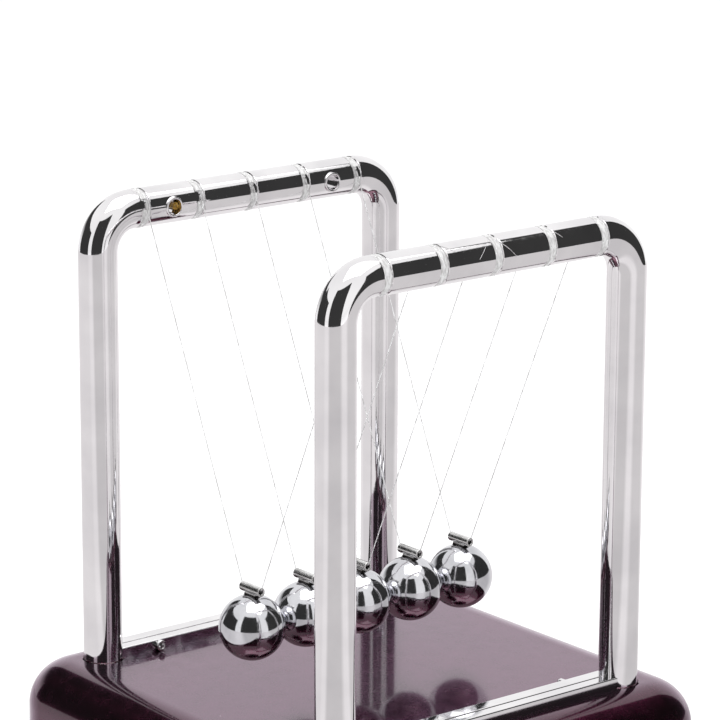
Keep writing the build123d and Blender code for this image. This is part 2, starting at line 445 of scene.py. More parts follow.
@dataclass(frozen=True)
class ClearNylon:
    """Clear monofilament or cured glue: pale, glossy, partly see-through."""

    pale: tuple[float, float, float] = (0.93, 0.93, 0.94)
    milky: tuple[float, float, float] = (0.64, 0.63, 0.63)
    clearness: float = 0.42
    roughness: float = 0.18
    cloud_scale: float = 500.0
    streak_depth: float = 0.014 * MM

    def material(self, name: str) -> bpy.types.Material:
        """Builds the material.

        Args:
            name: Its name.

        Returns:
            The material.
        """
        nodes = Nodes(name)
        nodes.set(Transmission_Weight=self.clearness, IOR=1.5)
        cloud = nodes.noise(self.cloud_scale, 3.0, (3.5, 1, 1))
        nodes.drive("Base Color", nodes.ramp(cloud, [(0.38, self.milky), (0.60, self.pale)]))
        rough = nodes.spread(nodes.noise(2200.0, 2.0), self.roughness - 0.08, self.roughness + 0.12)
        nodes.drive("Roughness", rough)
        nodes.bump(nodes.noise(800.0, 2.0, (3, 1, 1)), self.streak_depth)
        return nodes.material


FINISHES = {
    "lacquered_base": FlakeLacquer(),
    "base_cover": MouldedPlastic((0.045, 0.043, 0.045), (0.02, 0.019, 0.02)),
    "rubber_feet": MouldedPlastic((0.05, 0.05, 0.05), (0.025, 0.025, 0.025), 0.75, 1800.0, 0.03 * MM),
    "screws": ZincPlate(),
    "plated_frames": BrightPlating(),
    "polished_balls": PolishedSteel(),
    "hangers": DrawnTube(),
    "fishing_line": ClearNylon(),
    "clear_glue": ClearNylon((0.97, 0.97, 0.97), (0.66, 0.65, 0.65), 0.32, 0.16, 700.0),
    "aged_glue": ClearNylon((0.66, 0.42, 0.09), (0.26, 0.13, 0.02), 0.20, 0.20, 1500.0),
}


class Wardrobe:
    """The finishes, each made into a material once."""

    def __init__(self) -> None:
        """Makes a material for each finish."""
        self.materials = {slot: finish.material(slot) for slot, finish in FINISHES.items()}

    def finish(self, piece: bpy.types.Object, slot: str) -> None:
        """Gives a new piece a finish, and shading that follows its larger faces.

        Args:
            piece: The piece.
            slot: The finish's name.
        """
        self.dress(piece, slot)
        even = piece.modifiers.new("even_shading", "WEIGHTED_NORMAL")
        even.keep_sharp = True

    def dress(self, piece: bpy.types.Object, slot: str) -> None:
        """Gives a piece one finish all over.

        Args:
            piece: The piece.
            slot: The finish's name.
        """
        piece.data.materials.clear()
        piece.data.materials.append(self.materials[slot])

    def dress_frame(self) -> None:
        """Gives every carried-over CAD node the finish of its own slot."""
        for part in frame["record"]["subparts"]:
            node = frame["nodes"][part["node"]]
            self.dress(node, part["material_slot"])


# ---- mesh helpers


def only(kind: type, items: Sequence[object]) -> list:
    """The items of one kind.

    Args:
        kind: A bmesh element type.
        items: Mixed geometry.

    Returns:
        Those of that kind.
    """
    return [item for item in items if isinstance(item, kind)]


def shade(mesh: bmesh.types.BMesh, sharp_degrees: float) -> None:
    """Smooth shading, with the sharper turns kept as edges.

    Args:
        mesh: The geometry.
        sharp_degrees: Edges that turn more than this stay sharp.
    """
    limit = math.radians(sharp_degrees)
    for face in mesh.faces:
        face.smooth = True
    for edge in mesh.edges:
        edge.smooth = len(edge.link_faces) != 2 or edge.calc_face_angle(0.0) < limit


def new_piece(name: str, mesh: bmesh.types.BMesh, sharp_degrees: float = 35.0) -> bpy.types.Object:
    """Makes an object of a bmesh, with outward normals and smooth shading.

    Args:
        name: The piece's name.
        mesh: Its geometry, in place. It is freed.
        sharp_degrees: Edges that turn more than this stay sharp.

    Returns:
        The new object, at the origin.
    """
    bmesh.ops.remove_doubles(mesh, verts=mesh.verts, dist=1e-7)
    bmesh.ops.recalc_face_normals(mesh, faces=mesh.faces)
    shade(mesh, sharp_degrees)
    data = bpy.data.meshes.new(name)
    mesh.to_mesh(data)
    mesh.free()
    piece = bpy.data.objects.new(name, data)
    bpy.context.scene.collection.objects.link(piece)
    return piece


def bevel(mesh: bmesh.types.BMesh, edges: Sequence[bmesh.types.BMEdge], offset: float,
          segments: int) -> None:
    """Rounds edges.

    Args:
        mesh: The geometry.
        edges: Edges to round.
        offset: Width of the rounding.
        segments: Its steps.
    """
    bmesh.ops.bevel(mesh, geom=list(edges), offset=offset, offset_type="OFFSET", segments=segments,
                    profile=0.5, affect="EDGES", clamp_overlap=True, material=-1)


def cut_away(piece: bpy.types.Object, cutters: Sequence[bpy.types.Object]) -> None:
    """Subtracts solids from a piece and removes them.

    Args:
        piece: The piece to cut.
        cutters: Closed meshes.
    """
    for cutter in cutters:
        modifier = piece.modifiers.new("cut", "BOOLEAN")
        modifier.operation = "DIFFERENCE"
        modifier.solver = "EXACT"
        modifier.object = cutter
    graph = bpy.context.evaluated_depsgraph_get()
    cut = bpy.data.meshes.new_from_object(piece.evaluated_get(graph))
    piece.modifiers.clear()
    mesh = bmesh.new()
    mesh.from_mesh(cut)
    shade(mesh, 40.0)
    mesh.to_mesh(cut)
    mesh.free()
    piece.data = cut
    for cutter in cutters:
        bpy.data.objects.remove(cutter)


class Lathe:
    """Closed profiles spun into solids of revolution."""

    @staticmethod
    def spin(mesh: bmesh.types.BMesh, profile: Sequence[tuple[float, float]], centre: Vector,
             axis: Vector, side: Vector, steps: int = 48) -> None:
        """Spins a closed profile right round an axis, into the mesh.

        Args:
            mesh: Geometry to add to.
            profile: Points as (distance from the axis, distance along it).
            centre: A point on the axis.
            axis: The axis's direction.
            side: A direction square to it, in which the profile lies.
            steps: Steps in the full turn.
        """
        ring = [mesh.verts.new(centre + side * r + axis * h) for r, h in profile]
        edges = [mesh.edges.new((a, b)) for a, b in zip(ring, ring[1:] + ring[:1])]
        bmesh.ops.spin(mesh, geom=ring + edges, cent=centre, axis=axis, angle=math.tau,
                       steps=steps, use_merge=True, use_duplicate=False)


class RoundBar:
    """A round bar or line, grown from one ring by extruding and spinning it."""

    def __init__(self, centre: Vector, direction: Vector, radius: float, sides: int) -> None:
        """Starts the bar with a closed end.

        Args:
            centre: Middle of the first ring.
            direction: The way the bar first runs.
            radius: Its radius.
            sides: Sides of its section.
        """
        self.mesh = bmesh.new()
        self.centre = centre.copy()
        self.direction = direction.normalized()
        self.radius = radius
        turn = Vector((0, 0, 1)).rotation_difference(self.direction).to_matrix().to_4x4()
        made = bmesh.ops.create_circle(self.mesh, cap_ends=True, radius=radius, segments=sides,
                                       matrix=Matrix.Translation(centre) @ turn)
        self.edges = list({edge for vert in made["verts"] for edge in vert.link_edges})

    def run(self, length: float, radius: float | None = None) -> None:
        """Runs straight on.

        Args:
            length: How far.
            radius: The radius at the far end, if it changes.
        """
        grown = bmesh.ops.extrude_edge_only(self.mesh, edges=self.edges)
        verts = only(bmesh.types.BMVert, grown["geom"])
        self.edges = only(bmesh.types.BMEdge, grown["geom"])
        bmesh.ops.translate(self.mesh, verts=verts, vec=self.direction * length)
        self.centre += self.direction * length
        if radius is not None and radius != self.radius:
            share = radius / self.radius
            bmesh.ops.scale(self.mesh, verts=verts, vec=(share, share, share),
                            space=Matrix.Translation(-self.centre))
            self.radius = radius

    def bend(self, centre: Vector, axis: Vector, angle: float, steps: int,
             advance: float = 0.0) -> None:
        """Bends round an axis, and may advance along it as a helix does.

        Args:
            centre: A point on the axis.
            axis: The axis's direction.
            angle: Turn in radians.
            steps: Rings in the bend.
            advance: Distance moved along the axis by the end.
        """
        grown = bmesh.ops.spin(self.mesh, geom=self.edges, cent=centre, axis=axis, angle=angle,
                               steps=steps, dvec=axis * (advance / steps), use_duplicate=False)
        self.edges = only(bmesh.types.BMEdge, grown["geom_last"])
        turn = Matrix.Rotation(angle, 3, axis)
        self.centre = centre + turn @ (self.centre - centre) + axis * advance
        self.direction = (turn @ self.direction).normalized()

    def close(self) -> None:
        """Closes the far end."""
        bmesh.ops.contextual_create(self.mesh, geom=self.edges)


# ---- base


@dataclass
class Base:
    """Moulded base: rolled shell with post sockets, its cover and feet staying as they are."""

    wardrobe: Wardrobe
    corner: float = 15.0 * MM
    roll: float = 11.5 * MM
    round_steps: int = 18
    support: float = 0.6 * MM
    rim: float = 1.0 * MM
    rebate: float = 1.2 * MM
    cover_thickness: float = 2.0 * MM
    wall: float = 2.2 * MM
    socket_radius: float = 5.25 * MM
    socket_mouth: float = 0.25 * MM
    socket_depth: float = 10.0 * MM
    socket_wall: float = 2.25 * MM
    socket_floor: float = 2.0 * MM
    screw_way: float = 1.65 * MM

    def upright_edges(self, mesh: bmesh.types.BMesh) -> list[bmesh.types.BMEdge]:
        """Edges of the mesh that stand upright."""
        return [e for e in mesh.edges if abs((e.verts[0].co - e.verts[1].co).normalized().z) > 0.99]

    def flat_face(self, mesh: bmesh.types.BMesh, height: float) -> bmesh.types.BMFace:
        """The largest level face at a height.

        Args:
            mesh: The geometry.
            height: Where the face lies.

        Returns:
            The face.
        """
        level = [f for f in mesh.faces if abs(f.calc_center_median().z - height) < 1e-6
                 and abs(f.normal.z) > 0.999]
        return max(level, key=lambda face: face.calc_area())

    def hollow(self, mesh: bmesh.types.BMesh, low: float, high: float) -> None:
        """Hollows the block from below, with a rebate for the cover and a rounded ceiling.

        Args:
            mesh: The block.
            low: Its lower face.
            high: Its upper face.
        """
        steps = ((self.rim, self.cover_thickness),
                 (self.rebate, high - self.wall - low - self.cover_thickness))
        height = low
        for inset, depth in steps:
            floor = self.flat_face(mesh, height)
            bmesh.ops.inset_region(mesh, faces=[floor], thickness=inset, use_even_offset=True)
            floor = self.flat_face(mesh, height)
            grown = bmesh.ops.extrude_discrete_faces(mesh, faces=[floor])
            bmesh.ops.translate(mesh, verts=list(grown["faces"][0].verts), vec=(0, 0, depth))
            height += depth
        mesh.normal_update()
        ceiling = min((f for f in mesh.faces if abs(f.calc_center_median().z - height) < 1e-6),
                      key=lambda face: -face.calc_area())
        bevel(mesh, ceiling.edges, self.roll - self.wall, 8)

    def block(self) -> bmesh.types.BMesh:
        """The rolled and hollowed block.

        Returns:
            Its geometry.
        """
        low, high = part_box("base_shell")
        size, middle = high - low, (high + low) / 2
        mesh = bmesh.new()
        bmesh.ops.create_cube(mesh, size=1.0)
        bmesh.ops.scale(mesh, verts=mesh.verts, vec=size)
        bmesh.ops.translate(mesh, verts=mesh.verts, vec=middle)
        bevel(mesh, self.upright_edges(mesh), self.corner, self.round_steps)
        mesh.normal_update()
        bevel(mesh, self.flat_face(mesh, high.z).edges, self.roll, self.round_steps)
        mesh.normal_update()
        bmesh.ops.inset_region(mesh, faces=[self.flat_face(mesh, high.z)], thickness=self.support,
                               use_even_offset=True)
        mesh.normal_update()
        self.hollow(mesh, low.z, high.z)
        return mesh

    def sockets(self, mesh: bmesh.types.BMesh, places: Sequence[Vector]) -> None:
        """Adds the blind tubes that hold the posts, under the ceiling.

        Args:
            mesh: The shell's geometry.
            places: Where the posts' axes meet its top.
        """
        outer = self.socket_radius + self.socket_wall
        tube = ((outer, -self.wall / 2), (outer, -self.socket_depth - self.socket_floor),
                (self.screw_way, -self.socket_depth - self.socket_floor),
                (self.screw_way, -self.socket_depth), (self.socket_radius, -self.socket_depth),
                (self.socket_radius, -self.wall / 2))
        for place in places:
            Lathe.spin(mesh, tube, place, Vector((0, 0, 1)), Vector((1, 0, 0)), 40)

    def socket_cutter(self, place: Vector) -> bpy.types.Object:
        """A plug that opens the shell's top over one socket, a little flared at the mouth.

        Args:
            place: Where the post's axis meets the top.

        Returns:
            The plug.
        """
        radius, flare, above = self.socket_radius, self.socket_mouth, self.wall
        bar = RoundBar(place - Vector((0, 0, self.wall * 2)), Vector((0, 0, 1)), radius, 64)
        bar.run(self.wall * 2 - flare)
        bar.run(flare, radius + flare)
        bar.run(above)
        bar.close()
        return new_piece("socket_cutter", bar.mesh)

    def build(self) -> None:
        """Builds and dresses the shell."""
        post_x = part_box("frame_rear")[1].x - RingFrame.tube_radius
        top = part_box("base_shell")[1].z
        places = [Vector((sx * post_x, sy * post_y(), top)) for sx in (-1, 1) for sy in (-1, 1)]
        shell = new_piece("base_shell_skin", self.block())
        cut_away(shell, [self.socket_cutter(place) for place in places])
        mesh = bmesh.new()
        mesh.from_mesh(shell.data)
        self.sockets(mesh, places)
        bpy.data.objects.remove(shell)
        shell = new_piece("base_shell_skin", mesh, 32.0)
        self.wardrobe.finish(shell, "lacquered_base")
        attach(shell, STAND)
        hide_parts("base_shell")


# ---- frames


def post_y() -> float:
    """Distance of each frame's plane from the middle."""
    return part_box("frame_rear")[1].y - RingFrame.tube_radius


def bar_height() -> float:
    """Height of the top bars' axes."""
    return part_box("frame_rear")[1].z - RingFrame.tube_radius


def ball_place(number: int) -> Vector:
    """Centre of a ball, by its number from the left."""
    low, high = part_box(f"ball_{number}")
    return (low + high) / 2


def hang_height() -> float:
    """Height at which the lines leave the grooves: that of the balls' hinges."""
    return frame["joints"][0]["pos_m"][2]


def line_slope() -> float:
    """Angle of the taut lines from upright."""
    return math.asin((hang_height() - bar_height()) / Tie.turn_radius)


@dataclass
class RingFrame:
    """One plated ring frame: posts, bent corners, grooved top bar, foot bar and pockets."""

    wardrobe: Wardrobe
    end: End
    tube_radius: float = 5.0 * MM
    bend_radius: float = 10.0 * MM
    bend_steps: int = 24
    post_edge: float = 0.4 * MM
    post_support: float = 0.6 * MM
    groove_half: float = 1.3 * MM
    groove_floor: float = 1.1 * MM
    groove_depth: float = 0.35 * MM
    shoulder: float = 0.14 * MM
    bar_depth: float = 7.3 * MM
    bar_height: float = 2.8 * MM
    bar_round: float = 0.35 * MM
    ridge_width: float = 1.0 * MM
    ridge_height: float = 0.15 * MM
    ridge_round: float = 0.10 * MM
    pocket_rim: float = 2.6 * MM
    pocket_bore: float = 2.0 * MM
    pocket_stand: float = 0.3 * MM
    pocket_depth: float = 2.2 * MM
    pocket_clear: float = 0.15 * MM
    rim_sink: float = 0.2 * MM
    low_pocket_x: float = 30.8 * MM
    low_pocket_rim: float = 1.35 * MM
    low_pocket_bore: float = 0.85 * MM
    low_pocket_stand: float = 1.4 * MM
    low_pocket_sink: float = 0.3 * MM
    sides: int = 72

    def __post_init__(self) -> None:
        """Reads the frame's places."""
        self.y = self.end.value * post_y()
        self.bar_z = bar_height()
        self.post_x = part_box("frame_rear")[1].x - self.tube_radius
        self.foot_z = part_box("frame_rear")[0].z
        first_x = (ball_place(1).x + ball_place(2).x) / 2
        self.pocket_xs = (first_x, -first_x)

    def ring_stops(self) -> list[tuple[float, float]]:
        """Rings of the top bar in order: place along X and radius.

        Returns:
            The grooves' rings, and plain rings just clear of each pocket.
        """
        full, floor = self.tube_radius, self.tube_radius - self.groove_depth
        soft = self.shoulder
        half = ((self.groove_half + 4 * soft, full), (self.groove_half + 2 * soft, full),
                (self.groove_half + soft, full), (self.groove_half, full - 0.06 * self.groove_depth),
                (self.groove_floor + soft * 0.35, floor + 0.12 * self.groove_depth),
                (self.groove_floor - soft, floor))
        stops: list[tuple[float, float]] = []
        for number in BALL_NUMBERS:
            x = ball_place(number).x
            stops += [(x - away, radius) for away, radius in half]
            stops += [(x + away, radius) for away, radius in reversed(half)]
        clear = self.pocket_rim + self.pocket_clear
        stops += [(x + side * clear, full) for x in self.pocket_xs for side in (-1, 1)]
        return sorted(stops)

    def ring(self) -> bpy.types.Object:
        """The bent round bar with its grooves, from one post's foot to the other's.

        Returns:
            The bar.
        """
        start = Vector((-self.post_x, self.y, self.foot_z))
        bend_z = self.bar_z - self.bend_radius
        bend_x = self.post_x - self.bend_radius
        edge, support = self.post_edge, self.post_support
        turn = (Vector((0, 1, 0)), math.pi / 2, self.bend_steps)
        bar = RoundBar(start, Vector((0, 0, 1)), self.tube_radius - edge, self.sides)
        bar.run(edge, self.tube_radius)
        bar.run(support)
        bar.run(bend_z - bar.centre.z)
        bar.bend(Vector((-bend_x, self.y, bend_z)), *turn)
        for x, radius in self.ring_stops():
            bar.run(x - bar.centre.x, radius)
        bar.run(bend_x - bar.centre.x, self.tube_radius)
        bar.bend(Vector((bend_x, self.y, bend_z)), *turn)
        bar.run(bend_z - self.foot_z - support - edge)
        bar.run(support)
        bar.run(edge, self.tube_radius - edge)
        bar.close()
        return new_piece(f"{self.end.word}_ring", bar.mesh, 60.0)

    def inward(self) -> Vector:
        """The way from this frame to the balls."""
        return Vector((0, -self.end.value, 0))

    def pocket_cutter(self, x: float) -> bpy.types.Object:
        """A plug that hollows one pocket in the top bar.

        Args:
            x: Where the pocket lies along the bar.

        Returns:
            The plug.
        """
        radius = (self.pocket_rim + self.pocket_bore) / 2
        floor = self.tube_radius - self.pocket_depth
        bar = RoundBar(Vector((x, self.y, self.bar_z)) + self.inward() * floor, self.inward(), radius, 48)
        bar.run(2 * self.pocket_depth)
        bar.close()
        return new_piece("pocket_cutter", bar.mesh)

    def rim(self, name: str, centre: Vector, sizes: tuple[float, float], inner: float,
            outer: float) -> bpy.types.Object:
        """A round rim, softly rounded at its mouth.

        Args:
            name: The piece's name.
            centre: A point on its axis in the frame's plane.
            sizes: Rim radius and bore radius.
            inner: Distance of its inner end from the frame's plane.
            outer: Distance of its mouth.

        Returns:
            The rim.
        """
        rim, bore = sizes
        soft = (rim - bore) * 0.28
        cut = soft * 0.3
        profile = ((rim, inner), (rim, outer - soft), (rim - cut, outer - cut), (rim - soft, outer),
                   (bore + soft, outer), (bore + cut, outer - cut), (bore, outer - soft), (bore, inner))
        mesh = bmesh.new()
        Lathe.spin(mesh, profile, centre, self.inward(), Vector((1, 0, 0)), 56)
        return new_piece(name, mesh, 50.0)

    def foot_bar(self) -> bpy.types.Object:
        """The flat bar between the posts' feet, with its low ridge.

        Returns:
            The bar.
        """
        base_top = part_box("base_shell")[1].z
        half_ridge = self.ridge_width / 2
        mesh = bmesh.new()
        bmesh.ops.create_cube(mesh, size=1.0)
        bmesh.ops.scale(mesh, verts=mesh.verts, vec=(2 * self.post_x, self.bar_depth, self.bar_height))
        bmesh.ops.translate(mesh, verts=mesh.verts, vec=(0, self.y, base_top + self.bar_height / 2))
        top = base_top + self.bar_height
        long_top = [e for e in mesh.edges if all(abs(v.co.z - top) < 1e-6 for v in e.verts)
                    and abs(e.verts[0].co.y - e.verts[1].co.y) < 1e-6]
        bevel(mesh, long_top, self.bar_round, 6)
        for side in (-1, 1):
            bmesh.ops.bisect_plane(mesh, geom=mesh.verts[:] + mesh.edges[:] + mesh.faces[:],
                                   plane_co=(0, self.y + side * half_ridge, 0), plane_no=(0, 1, 0))
        mesh.normal_update()
        strip = [f for f in mesh.faces if f.normal.z > 0.99
                 and abs(f.calc_center_median().y - self.y) < half_ridge]
        grown = bmesh.ops.extrude_face_region(mesh, geom=strip)
        verts = only(bmesh.types.BMVert, grown["geom"])
        bmesh.ops.delete(mesh, geom=strip, context="FACES_ONLY")
        bmesh.ops.translate(mesh, verts=verts, vec=(0, 0, self.ridge_height))
        rises = [e for e in mesh.edges if all(abs(v.co.z - top - self.ridge_height) < 1e-6 for v in e.verts)
                 and abs(e.verts[0].co.y - e.verts[1].co.y) < 1e-6]
        bevel(mesh, rises, self.ridge_round, 3)
        return new_piece(f"{self.end.word}_foot_bar", mesh, 40.0)

    def finish(self, piece: bpy.types.Object) -> None:
        """Dresses a piece of the frame and fixes it to the stand.

        Args:
            piece: The piece.
        """
        self.wardrobe.finish(piece, "plated_frames")
        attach(piece, STAND)
        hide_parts(f"frame_{self.end.word}")

    def build(self) -> None:
        """Builds and dresses the frame's pieces."""
        ring = self.ring()
        cut_away(ring, [self.pocket_cutter(x) for x in self.pocket_xs])
        self.finish(ring)
        self.finish(self.foot_bar())
        for side, x in zip(("left", "right"), self.pocket_xs):
            centre = Vector((x, self.y, self.bar_z))
            inner = self.tube_radius - self.pocket_depth - self.rim_sink
            outer = self.tube_radius + self.pocket_stand
            name = f"{self.end.word}_{side}_pocket_rim"
            self.finish(self.rim(name, centre, (self.pocket_rim, self.pocket_bore), inner, outer))
        low_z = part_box("base_shell")[1].z + self.bar_height / 2
        centre = Vector((-self.end.value * self.low_pocket_x, self.y, low_z))
        face = self.bar_depth / 2
        sizes = (self.low_pocket_rim, self.low_pocket_bore)
        name = f"{self.end.word}_low_pocket_rim"
        self.finish(self.rim(name, centre, sizes, face - self.low_pocket_sink, face + self.low_pocket_stand))


# ---- balls, hangers and lines


@dataclass
class HungBall:
    """A ball with its hanger and its line."""

    wardrobe: Wardrobe
    number: int
    sleeve_radius: float = 1.2 * MM
    sleeve_bore: float = 0.6 * MM
    sleeve_half: float = 3.8 * MM
    sleeve_rise: float = 1.5 * MM
    rim: float = 0.3 * MM
    edge: float = 0.15 * MM
    weld_half_length: float = 2.2 * MM
    weld_half_width: float = 0.65 * MM
    weld_cover: float = 0.1 * MM
    weld_flare: float = 0.34
    weld_lump: float = 0.10 * MM
    line_radius: float = 0.14 * MM
    bore_lift: float = 0.02 * MM

    @classmethod
    def sleeve_height(cls) -> float:
        """Height of the sleeves' axes."""
        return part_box("ball_1")[1].z + cls.sleeve_rise

    def __post_init__(self) -> None:
        """Reads the ball's places."""
        self.centre = ball_place(self.number)
        low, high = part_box(f"ball_{self.number}")
        self.radius = (high.z - low.z) / 2
        self.sleeve = self.centre + Vector((0, 0, self.radius + self.sleeve_rise))

    def ball(self) -> bpy.types.Object:
        """The polished ball.

        Returns:
            The ball.
        """
        mesh = bmesh.new()
        bmesh.ops.create_uvsphere(mesh, u_segments=112, v_segments=64, radius=self.radius,
                                  matrix=Matrix.Translation(self.centre))
        return new_piece(f"ball_{self.number}_polished", mesh)

    def sleeve_profile(self) -> list[tuple[float, float]]:
        """Wall of the sleeve, with rounded outer edges and round bore mouths.

        Returns:
            Its points as (distance from the axis, distance along it).
        """
        half: list[tuple[float, float]] = []
        for step in range(7):
            turn = math.pi / 2 * step / 6
            half.append((self.sleeve_bore + self.rim * (1 - math.cos(turn)),
                         self.sleeve_half - self.rim * (1 - math.sin(turn))))
        for step in range(5):
            turn = math.pi / 2 * step / 4
            half.append((self.sleeve_radius - self.edge * (1 - math.sin(turn)),
                         self.sleeve_half - self.edge * (1 - math.cos(turn))))
        return half + [(radius, -along) for radius, along in reversed(half)]

    def hanger(self) -> bpy.types.Object:
        """The sleeve on its weld, which spreads where it meets the ball.

        Returns:
            The hanger.
        """
        mesh = bmesh.new()
        Lathe.spin(mesh, self.sleeve_profile(), self.sleeve, Vector((0, 1, 0)), Vector((0, 0, 1)), 40)
        foot = bmesh.ops.create_cube(mesh, size=1.0)["verts"]
        low = self.centre.z + self.radius * 0.955
        high = self.sleeve.z - self.sleeve_bore - self.weld_cover
        size = (2 * self.weld_half_width, 2 * self.weld_half_length, high - low)
        bmesh.ops.scale(mesh, verts=foot, vec=size)
        bmesh.ops.translate(mesh, verts=foot, vec=(self.centre.x, 0, (low + high) / 2))
        edges = {edge for vert in foot for edge in vert.link_edges}
        bmesh.ops.subdivide_edges(mesh, edges=list(edges), cuts=5, use_grid_fill=True)
        block = [v for v in mesh.verts if abs(v.co.x - self.centre.x) <= size[0] / 2 + 1e-7
                 and abs(v.co.y) <= size[1] / 2 + 1e-7 and v.co.z <= high + 1e-7]
        for vert in block:
            drop = max(0.0, (self.sleeve.z - vert.co.z) / (self.sleeve.z - low))
            lump = self.weld_lump * noise.noise(vert.co * 1100.0)
            flare = 1.0 + self.weld_flare * drop ** 3
            vert.co.x = self.centre.x + (vert.co.x - self.centre.x) * flare + lump * drop
            vert.co.y = vert.co.y * (0.92 + 0.12 * drop ** 2) + lump * drop
        return new_piece(f"hanger_{self.number}_tube", mesh, 48.0)

    def line(self) -> bpy.types.Object:
        """The line, straight from each groove and bent over the sleeve's mouths.

        Returns:
            The line.
        """
        slope = line_slope()
        mouth_y = self.sleeve_half - self.rim
        mouth_z = self.sleeve.z + self.sleeve_bore + self.rim
        bend = self.rim + self.bore_lift + self.line_radius
        hang_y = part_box(f"line_{self.number}")[1].y - self.line_radius * math.cos(slope)
        start = Vector((self.centre.x, -hang_y, hang_height()))
        down = Vector((0, math.sin(slope), -math.cos(slope)))
        out = Vector((0, -math.cos(slope), -math.sin(slope)))
        mouth = Vector((self.centre.x, -mouth_y, mouth_z))
        reach = ((mouth + out * bend) - start).dot(down)
        bar = RoundBar(start, down, self.line_radius, 12)
        turn = math.pi / 2 - slope
        bar.run(reach)
        bar.bend(mouth, Vector((1, 0, 0)), turn, 8)
        bar.run(2 * mouth_y)
        bar.bend(Vector((self.centre.x, mouth_y, mouth_z)), Vector((1, 0, 0)), turn, 8)
        bar.run(reach)
        bar.close()
        return new_piece(f"line_{self.number}_thread", bar.mesh, 60.0)

    def build(self) -> None:
        """Builds and dresses the ball, the hanger and the line."""
        pieces = ((self.ball(), "ball", "polished_balls"), (self.hanger(), "hanger", "hangers"),
                  (self.line(), "line", "fishing_line"))
        for piece, node, slot in pieces:
            self.wardrobe.finish(piece, slot)
            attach(piece, f"ball_{self.number}")
            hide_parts(f"{node}_{self.number}")


@dataclass
class Tie:
    """The wound end of one line in its groove, with the glue that holds it."""

    wardrobe: Wardrobe
    end: End
    number: int
    line_radius: float = 0.14 * MM
    turn_radius: float = 4.80 * MM
    turn_pitch: float = 0.42 * MM
    turns: float = 2.25
    start_gap: float = 0.35 * MM
    glue_radius: float = 5.02 * MM
    glue_spare: float = 0.09 * MM
    glue_half_width: float = 1.12 * MM
    glue_sink: float = 0.12 * MM
    glue_slope: float = 0.22 * MM
    glue_crown: float = 0.05 * MM
    glue_lump: float = 0.11 * MM
    glue_start: float = math.radians(14)
    glue_arc: float = math.radians(326)

    def __post_init__(self) -> None:
        """Reads the groove's place."""
        self.x = ball_place(self.number).x
        self.axis_point = Vector((self.x, self.end.value * post_y(), bar_height()))
        self.side = 1 if self.x <= 1e-6 else -1
        self.leave = line_slope()

    def around(self, angle: float, radius: float) -> Vector:
        """A point beside the bar, turned from the ball side over the top, in the groove's plane."""
        return self.axis_point + Vector((0, -self.end.value * math.cos(angle), math.sin(angle))) * radius

    def wound_line(self) -> bpy.types.Object:
        """The turns of line, which advance towards the row's middle.

        Returns:
            The turns.
        """
        start = self.leave + self.start_gap / self.turn_radius
        begin = self.around(start, self.turn_radius)
        onward = self.around(start + math.pi / 2, 1.0) - self.axis_point
        spin_axis = Vector((-self.end.value, 0, 0))
        angle = math.tau * self.turns
        bar = RoundBar(begin, onward, self.line_radius, 10)
        shift = self.side * self.turn_pitch * self.turns * -self.end.value
        bar.bend(self.axis_point, spin_axis, angle, int(40 * self.turns), shift)
        bar.close()
        return new_piece(f"{self.end.word}_tie_{self.number}", bar.mesh, 60.0)

    def glue_band(self) -> bpy.types.Object:
        """Glue smeared over the turns, uneven, open where the line leaves the bar.

        Returns:
            The band.
        """
        low, high = self.turn_radius - self.glue_sink, self.glue_radius
        half, edge, crown = self.glue_half_width, high - self.glue_slope, high - self.glue_crown
        profile = ((-half, low), (-half * 0.95, edge), (-half * 0.6, crown), (0, high),
                   (half * 0.6, crown), (half * 0.95, edge), (half, low))
        mesh = bmesh.new()
        start = self.leave + self.glue_start
        out = (self.around(start, 1.0) - self.axis_point).normalized()
        along = Vector((1, 0, 0))
        ring = [mesh.verts.new(self.axis_point + along * x + out * r) for x, r in profile]
        edges = [mesh.edges.new((a, b)) for a, b in zip(ring, ring[1:] + ring[:1])]
        bmesh.ops.contextual_create(mesh, geom=edges)
        spun = bmesh.ops.spin(mesh, geom=edges, cent=self.axis_point,
                              axis=Vector((-self.end.value, 0, 0)), angle=self.glue_arc,
                              steps=84, use_duplicate=False)
        bmesh.ops.contextual_create(mesh, geom=only(bmesh.types.BMEdge, spun["geom_last"]))
        for vert in mesh.verts:
            spoke = vert.co - self.axis_point
            spoke.x = 0
            if spoke.length > low + self.glue_crown:
                lump = noise.noise(vert.co * 900.0) + 0.6 * noise.noise(vert.co * 2500.0)
                rise = min(lump * self.glue_lump, high + self.glue_spare - spoke.length)
                vert.co += spoke.normalized() * rise
                vert.co.x += 2 * self.glue_lump * noise.noise(vert.co * 700.0)
        return new_piece(f"{self.end.word}_glue_{self.number}", mesh, 70.0)

    def build(self) -> None:
        """Builds and dresses the turns and their glue."""
        pieces = ((self.wound_line(), "fishing_line", f"wrap_{self.end.word}_{self.number}"),
                  (self.glue_band(), "clear_glue", f"glue_{self.end.word}"))
        for piece, slot, node in pieces:
            self.wardrobe.finish(piece, slot)
            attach(piece, STAND)
            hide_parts(node)


